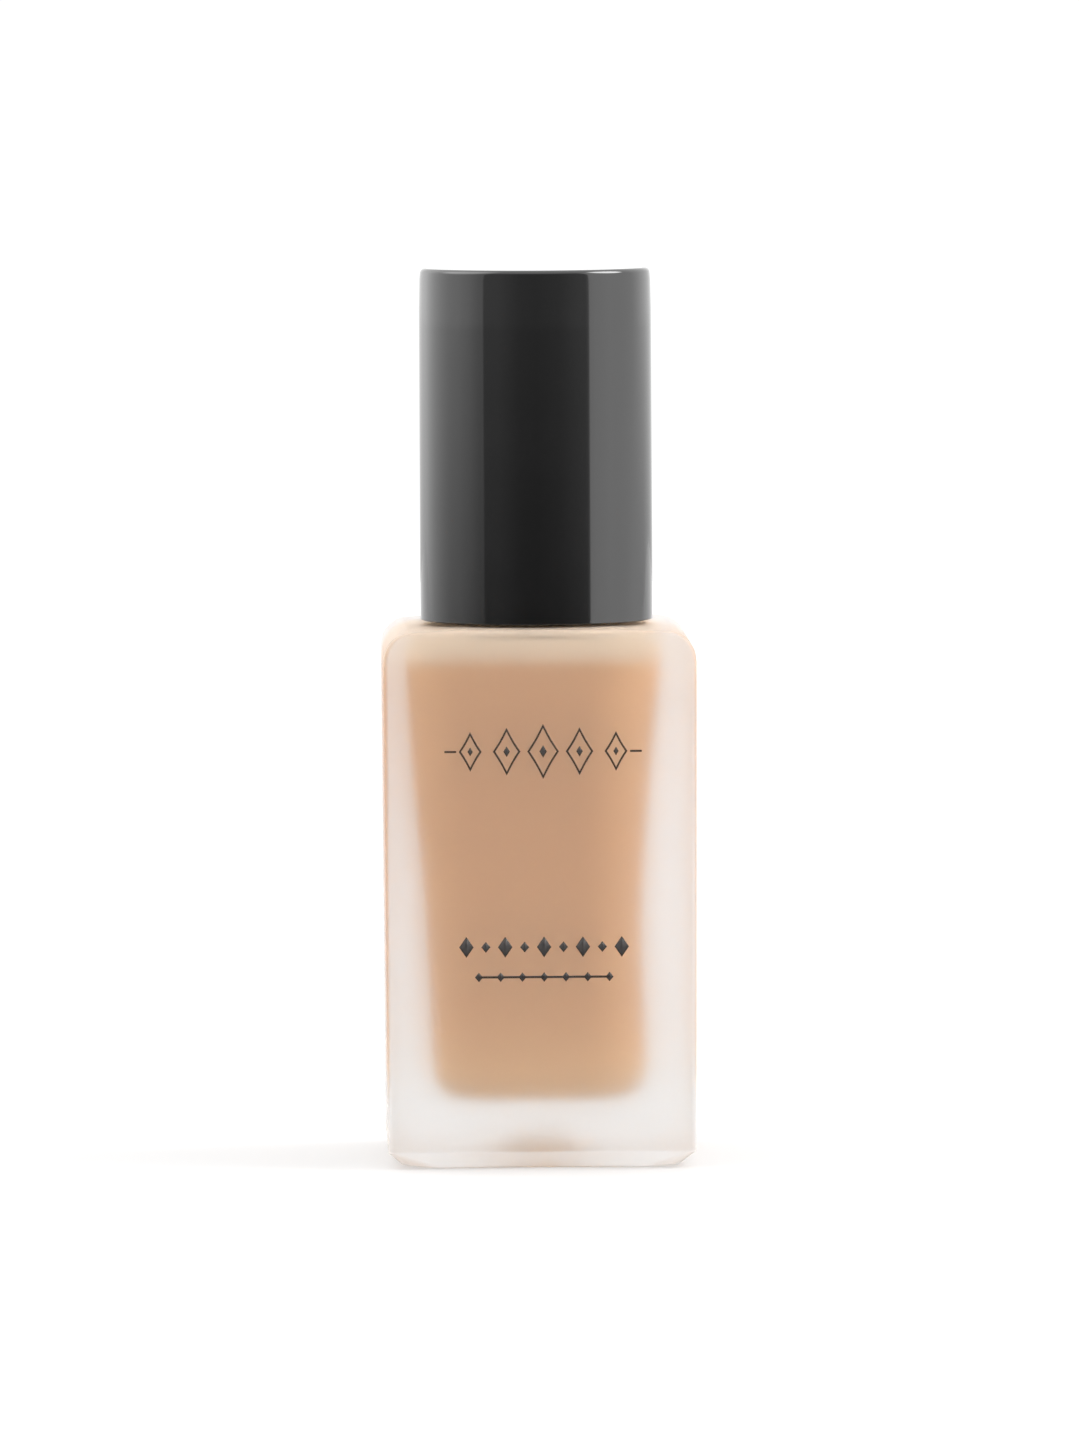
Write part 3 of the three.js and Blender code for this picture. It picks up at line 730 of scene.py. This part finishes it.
seat = make("ball_retainer", *lathe([
    (0.9, 53.4), (1.5, 53.4), (1.7, 53.95, 0.05), (3.45, 53.95), (3.45, 55.0), (1.7, 55.0), (1.7, 57.5, 0.3), (0.9, 57.5, 0.15),
], 96, radius=0.08))
for i in range(3):
    cut = make("notch", [(x, y, z) for x in (2.7, 4.2) for y in (-0.65, 0.65) for z in (53.0, 56.0)],
               [(0, 1, 3, 2), (4, 6, 7, 5), (0, 4, 5, 1), (2, 3, 7, 6), (0, 2, 6, 4), (1, 5, 7, 3)], weighted=False, smooth=False)
    cut.data.transform(Matrix.Rotation(i * TAU / 3 + 0.31, 4, "Z"))
    boolean(seat, cut)
place(seat, WHITE, "pump_body", "natural_plastic", "spring_seat")

tube = make("suction_tube", *lathe([(1.2, 9.3), (1.7, 9.3), (1.7, 47.8), (1.2, 47.8)], 96, radius=0.06))
place(tube, TUBE, "pump_body", "clear_tube", "dip_tube")

stem = make("stem_tube", *lathe([
    (0, 69.3), (1.35, 69.3, 0.15), (1.35, 72.25, 0.05), (1.9, 72.25, 0.05), (1.9, 77.9, 0.1), (2.5, 77.9, 0.15), (2.5, 95.5, 0.3), (1.3, 95.5, 0.15),
    (1.3, 78.5, 0.2), (1.0, 78.2, 0.1), (1.0, 73.4, 0.2), (0, 73.4),
], 96, closed=False))
port = make("port", *lathe([(0, -3.0), (0.55, -3.0), (0.55, 3.0), (0, 3.0)], 32, closed=False, soft=False), weighted=False)
port.data.transform(Matrix.Translation((0, 0, 74.3 * MM)) @ Matrix.Rotation(math.pi / 2, 4, "Y"))
boolean(stem, port)
for p in stem.data.polygons:
    p.use_smooth = True
place(stem, WHITE, "stem", "natural_plastic", "stem")

seat_plug = make("stem_plug", *lathe([
    (0, 67.0), (2.1, 67.0, 0.4), (2.1, 71.0, 0.08), (3.0, 71.0, 0.15), (3.0, 72.15, 0.3), (1.45, 72.15, 0.06), (1.45, 69.1, 0.1), (0, 69.1),
], 96, closed=False))
place(seat_plug, WHITE, "stem", "natural_plastic", "stem_seat")

piston = make("piston_cup", *lathe([
    (2.6, 72.35, 0.08), (3.5, 72.35, 0.25), (3.5, 73.4, 0.15), (3.15, 73.9, 0.2), (3.15, 75.5, 0.2), (3.5, 76.0, 0.15), (3.5, 77.0, 0.25),
    (2.05, 77.0, 0.1), (2.05, 75.3, 0.1), (2.6, 74.8, 0.1),
], 128))
place(piston, MILKY, "piston", "piston_plastic", "piston")


def coil():
    """Compression spring with closed ends, 5.2 mm mean diameter."""
    turns, per, wire = 6.5, 64, 0.3
    low, high = 55.1 + wire, 70.9 - wire
    end, step = 0.75 / turns, 0.75 * (2 * wire + 0.12)
    steps = int(turns * per)
    centres = []
    for i in range(steps + 1):
        t = i / steps
        if t < end:
            z = low + step * t / end
        elif t > 1 - end:
            z = high - step * (1 - t) / end
        else:
            z = low + step + (high - low - 2 * step) * (t - end) / (1 - 2 * end)
        a = turns * TAU * t
        centres.append(np.array([2.6 * math.cos(a), 2.6 * math.sin(a), z]))
    zs = np.array([c[2] for c in centres])
    zs = np.convolve(np.r_[[zs[0]] * 6, zs, [zs[-1]] * 6], np.ones(13) / 13, "valid")
    for c, z in zip(centres, zs):
        c[2] = z
    rings = []
    for i, c in enumerate(centres):
        d = centres[min(i + 1, steps)] - centres[max(i - 1, 0)]
        d /= np.linalg.norm(d)
        out = np.array([c[0], c[1], 0]) / 2.6
        up = np.cross(d, out)
        up /= np.linalg.norm(up)
        out = np.cross(up, d)
        rings.append([tuple(c + wire * (math.cos(TAU * k / 12) * out + math.sin(TAU * k / 12) * up)) for k in range(12)])
    return ring_stack(rings, start=tuple(centres[0]), end=tuple(centres[-1]))


spring = make("coil_spring", *coil(), weighted=False)
place(spring, STEEL, "pump_body", "steel", "return_spring")
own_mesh(spring)


def ball_mesh(r, z):
    bm = bmesh.new()
    bmesh.ops.create_icosphere(bm, subdivisions=4, radius=r)
    v = [(p.co.x, p.co.y, p.co.z + z) for p in bm.verts]
    f = [tuple(q.index for q in p.verts) for p in bm.faces]
    bm.free()
    return v, f


ball = make("check_ball", *ball_mesh(1.5, 50.53), weighted=False)
place(ball, STEEL, "inlet_valve", "steel", "inlet_ball")


# -------------------------------------------------------------------- actuator

core = make("core", *lathe([
    (0, 90.4), (4.3, 90.4, 0.2), (4.3, 91.2, 0.05), (6.6, 91.2, 0.15), (6.6, 92.3, 0.2), (4.3, 92.7, 0.3), (4.3, 98.5, 0.4), (0, 98.5),
], 128, closed=False))


def along_minus_y(outline, seg=64, closed=False, x=0.0, z=96.8, radius=0.1, steps=4):
    """A lathe whose axis runs out of the front: outline is (radius, distance from the pump's axis)."""
    v, f = lathe(outline, seg, closed=closed, radius=radius, steps=steps)
    return [(x + p[0], -p[2], z + p[1]) for p in v], f


spout = make("spout", *along_minus_y([(0, 2.0), (1.8, 2.0, 0), (1.8, 9.2, 0.5), (1.74, 10.9, 0.3), (0, 10.9)]), weighted=False)
boolean(core, spout, "UNION")
for cutter in (
    lathe([(0, 89.5), (2.62, 89.5, 0), (2.62, 95.7, 0.1), (0.9, 95.7, 0.1), (0.9, 96.6, 0.1), (0, 96.6)], 96, closed=False),
    along_minus_y([(0, 0.0), (0.8, 0.0), (0.8, 12.0), (0, 12.0)], 48),
    along_minus_y([(0, 9.7), (1.35, 9.7, 0.05), (1.35, 12.2, 0), (0, 12.2)], 64),
):
    boolean(core, make("cut", *cutter, weighted=False))
for p in core.data.polygons:
    p.use_smooth = True
place(core, SATIN, "head", "black_satin", "actuator_core")

head = make("button", *lathe([
    (0, 99.45), (2.5, 99.5, 0.5), (5.0, 99.75, 1.0), (7.6, 100.0, 0.55), (7.6, 90.0, 0.2), (6.85, 90.0, 0.2), (6.85, 98.95, 0.4), (0, 98.95),
], 192, closed=False, steps=8))
slot_cut = []
arc_pts = [(2.05 * math.cos(a), 96.75 + 2.05 * math.sin(a)) for a in np.linspace(0, math.pi, 25)]
outline = [(2.05, 88.5)] + arc_pts + [(-2.05, 88.5)]
m = len(outline)
cv = [(x, -5.0, z) for x, z in outline] + [(x, -9.5, z) for x, z in outline]
cf = [tuple(range(m)), tuple(range(2 * m - 1, m - 1, -1))] + [(i, m + i, m + (i + 1) % m, (i + 1) % m) for i in range(m)]
boolean(head, make("slot", cv, cf, smooth=False, weighted=False))
for p in head.data.polygons:
    p.use_smooth = True
place(head, GLOSS, "head", "black_gloss", "actuator_shell")

nozzle = make("nozzle", *along_minus_y([(0.45, 11.3), (1.22, 11.3, 0.25), (1.22, 9.95, 0.1), (0.45, 9.95, 0.1)], 64, closed=True), weighted=False)
place(nozzle, SATIN, "head", "black_satin", "nozzle_insert")

# smooth shading breaks at real edges on the pieces that were cut
for o in (closure, housing, seat, stem, core, head):
    for e in o.data.edges:
        e.use_edge_sharp = False
    bm = bmesh.new()
    bm.from_mesh(o.data)
    for e in bm.edges:
        if len(e.link_faces) == 2 and e.calc_face_angle(0) > math.radians(32):
            e.smooth = False
    bm.to_mesh(o.data)
    bm.free()
    o.modifiers["normals"].keep_sharp = True


# ------------------------------------------------------------------ the studio

floor_mesh = bpy.data.meshes.new("floor")
k = 24
outline = []
for sx, sy, a0 in ((1, 1, 0), (-1, 1, 90), (-1, -1, 180), (1, -1, 270)):
    cx, cy = sx * 0.65 + (0), (1.05 if sy > 0 else -0.2)
    for i in range(k + 1):
        a = math.radians(a0 + 90 * i / k)
        outline.append((cx + 0.25 * math.cos(a), cy + 0.25 * math.sin(a), -0.00002))
floor_mesh.from_pydata(outline, [], [tuple(range(len(outline)))])
floor = bpy.data.objects.new("floor", floor_mesh)
bpy.context.scene.collection.objects.link(floor)
fm, fnt, fb = principled("floor", Base_Color=(0.31, 0.31, 0.31, 1), Roughness=0.7, Specular_IOR_Level=0.2)
fb.inputs["Emission Color"].default_value = (1, 1, 1, 1)
fb.inputs["Emission Strength"].default_value = 0.4
floor.data.materials.append(fm)

CEILING = 1.9
world = bpy.data.worlds.new("studio")
bpy.context.scene.world = world
world.use_nodes = True
wt = world.node_tree
wt.nodes.clear()
tc = node(wt, "ShaderNodeTexCoord")
sep = node(wt, "ShaderNodeSeparateXYZ")
wt.links.new(tc.outputs["Generated"], sep.inputs[0])


def wmath(op, a, b=None, clamp=False):
    m = node(wt, "ShaderNodeMath", operation=op)
    m.use_clamp = clamp
    for i, v in enumerate((a, b)):
        if v is None:
            continue
        if isinstance(v, (int, float)):
            m.inputs[i].default_value = v
        else:
            wt.links.new(v, m.inputs[i])
    return m.outputs[0]


azimuth = wmath("ARCTAN2", sep.outputs["X"], wmath("MULTIPLY", sep.outputs["Y"], -1.0))
around = wmath("ADD", wmath("MULTIPLY", azimuth, 1 / TAU), 0.5)
elevation = wmath("MULTIPLY", wmath("ARCSINE", sep.outputs["Z"]), 360 / TAU)


def by_azimuth(stops, scale):
    """A value that runs round the horizon: (degrees from the camera's side, + to the right, value)."""
    r = node(wt, "ShaderNodeValToRGB")
    el = r.color_ramp.elements
    while len(el) < len(stops):
        el.new(0.5)
    for e, (deg, v) in zip(el, stops):
        e.position = 0.5 + deg / 360
        e.color = (v / scale, v / scale, v / scale, 1)
    wt.links.new(around, r.inputs["Fac"])
    return wmath("MULTIPLY", r.outputs["Color"], scale)


def smooth(value, low, high):
    m = node(wt, "ShaderNodeMapRange")
    m.interpolation_type = "SMOOTHSTEP"
    m.inputs["From Min"].default_value = low
    m.inputs["From Max"].default_value = high
    wt.links.new(value, m.inputs["Value"])
    return m.outputs[0]


def softbox(azimuth_deg, elevation_deg, inner, outer, level):
    """A round soft light in the sky, level added at its middle."""
    a, e = math.radians(azimuth_deg), math.radians(elevation_deg)
    d = node(wt, "ShaderNodeVectorMath", operation="DOT_PRODUCT")
    wt.links.new(tc.outputs["Generated"], d.inputs[0])
    d.inputs[1].default_value = (math.sin(a) * math.cos(e), -math.cos(a) * math.cos(e), math.sin(e))
    return wmath("MULTIPLY", smooth(d.outputs["Value"], math.cos(math.radians(outer)), math.cos(math.radians(inner))), level)


band = by_azimuth([
    (-180, 1.0), (-162, 1.12), (-150, 1.4), (-140, 1.75), (-130, 1.8), (-113, 1.66), (-97, 1.47), (-83, 1.42), (-70, 1.2), (-59, 0.88), (-54.6, 0.85), (-53.4, 0.39),
    (-38, 0.37), (-17, 0.22), (0, 0.19), (23, 0.245), (43, 0.38), (51.2, 0.43), (52.4, 0.6), (53.4, 0.62), (54.6, 2.2),
    (61, 2.36), (78, 2.37), (106, 1.82), (134, 1.28), (155, 1.08), (180, 1.0),
], 4)
slope = by_azimuth([(-180, 0.3), (-130, 0.28), (-85, 0.4), (-59, 0.48), (-40, 0.5), (0, 0.58), (45, 0.45), (53.4, 0.3), (54.6, 0.02), (112, 0.02), (134, 0.36), (180, 0.3)], 1)
tilt = wmath("MAXIMUM", wmath("MINIMUM", wmath("ADD", elevation, 2.45), 0.95), -1.6)
band = wmath("MULTIPLY", band, wmath("ADD", wmath("MULTIPLY", slope, tilt), 1.0))
# the walls give way to an even ceiling
mixer = node(wt, "ShaderNodeMix", data_type="FLOAT")
wt.links.new(smooth(sep.outputs["Z"], 0.55, 0.93), mixer.inputs["Factor"])
wt.links.new(band, mixer.inputs["A"])
mixer.inputs["B"].default_value = CEILING
sky = wmath("ADD", mixer.outputs["Result"], softbox(93, 41, 11, 19, 10.5))
sky = wmath("ADD", sky, softbox(-97, 45, 10, 30, 2.6))
lamp = node(wt, "ShaderNodeBackground", Color=(1, 1, 1, 1))
wt.links.new(sky, lamp.inputs["Strength"])
seen = node(wt, "ShaderNodeBackground", Color=(1, 1, 1, 1), Strength=1.05)
path = node(wt, "ShaderNodeLightPath")
pick = node(wt, "ShaderNodeMixShader")
out = node(wt, "ShaderNodeOutputWorld")
wt.links.new(path.outputs["Is Camera Ray"], pick.inputs["Fac"])
wt.links.new(lamp.outputs[0], pick.inputs[1])
wt.links.new(seen.outputs[0], pick.inputs[2])
wt.links.new(pick.outputs[0], out.inputs["Surface"])

# camera: 1.5 m away on a long lens, 149 mm above the table
cam_data = bpy.data.cameras.new("camera")
cam_data.sensor_width = 36
cam_data.lens = 311.25
cam_data.clip_start, cam_data.clip_end = 0.05, 60
cam = bpy.data.objects.new("camera", cam_data)
bpy.context.scene.collection.objects.link(cam)
yaw = math.radians(1.25)
cam.location = (-1.5 * math.sin(yaw), -1.5 * math.cos(yaw), 0.1492)
target = Vector((0.00036 * math.cos(yaw), -0.00036 * math.sin(yaw), 0.1492 - 1.5 * math.tan(math.radians(3.686))))
q = (target - cam.location).to_track_quat("-Z", "Y")
cam.rotation_mode = "QUATERNION"
cam.rotation_quaternion = q @ Matrix.Rotation(math.radians(-0.3), 3, "Z").to_quaternion()
bpy.context.scene.camera = cam

view = bpy.context.scene.view_settings
view.view_transform = "Standard"
view.look = "None"
view.exposure = 0.0
view.gamma = 1.0
